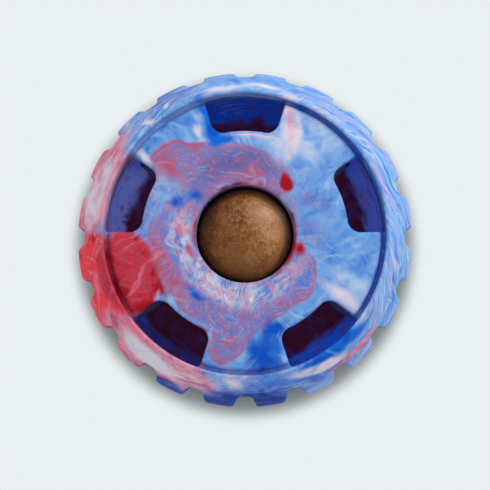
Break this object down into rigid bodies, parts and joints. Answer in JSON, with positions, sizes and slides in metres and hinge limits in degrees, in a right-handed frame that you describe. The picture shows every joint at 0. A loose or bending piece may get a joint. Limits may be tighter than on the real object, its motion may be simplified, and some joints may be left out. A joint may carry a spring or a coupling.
{
  "type": "treat dispensing ball",
  "caption": "Hollow marbled rubber dog ball with flattened faces, a lugged tread, food slots in both faces and a round baked treat held in a central socket.",
  "frame": {"origin": "centre of the lower rest ring, on the surface that the ball stands on", "axes": "+Z along the ball's axis, out of the face that holds the treat; +Y towards one slot of that face"},
  "size_m": [0.0888, 0.0888, 0.0508],
  "materials": {
    "marbled_rubber_top": "satin moulded rubber, marbled in blue, red and white",
    "marbled_rubber_bottom": "satin moulded rubber, marbled in blue, red and white",
    "baked_treat": "baked, slightly glazed and speckled"
  },
  "bodies": {
    "ball": {"shell_top": "marbled_rubber_top", "shell_bottom": "marbled_rubber_bottom"},
    "treat": {"treat": "baked_treat"}
  },
  "joints": [
    {"name": "treat_pull", "type": "slide", "parent": "ball", "child": "treat", "axis": [0, 0, 1], "range_m": [0, 0.03]}
  ]
}
